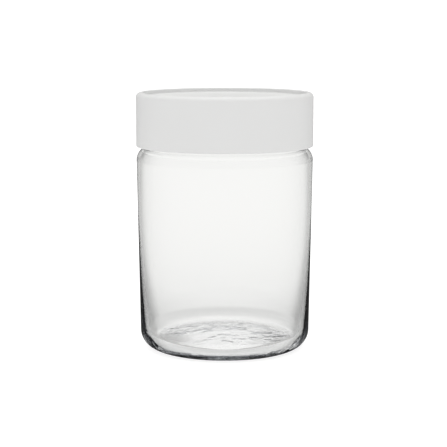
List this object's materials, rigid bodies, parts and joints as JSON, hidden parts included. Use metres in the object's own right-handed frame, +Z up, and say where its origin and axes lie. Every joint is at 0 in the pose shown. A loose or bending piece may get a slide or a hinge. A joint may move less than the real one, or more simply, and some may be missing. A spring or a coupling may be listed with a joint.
{
  "type": "lidded glass canister",
  "caption": "Round clear glass storage jar with gently tapered sides and a rounded foot, closed by a tall flush white push-on lid with a sealing plug.",
  "frame": {"origin": "centre of the jar's bearing ring, on the table", "axes": "+Z up along the axis of the jar; the jar is round, so X and Y are any two level directions, with -Y towards the camera of the picture"},
  "size_m": [0.1002, 0.1002, 0.146],
  "materials": {
    "clear_glass": "clear smooth blown glass",
    "white_plastic": "fine satin moulded white",
    "liner_plastic": "smooth milky natural plastic",
    "silicone": "soft translucent pale silicone"
  },
  "bodies": {
    "jar": {"glass_jar": "clear_glass"},
    "lid": {"lid_cap": "white_plastic", "lid_liner": "liner_plastic", "seal_ring": "silicone"}
  },
  "joints": [
    {"name": "lid_lift", "type": "slide", "parent": "jar", "child": "lid", "axis": [0, 0, 1], "range_m": [0, 0.04]}
  ]
}
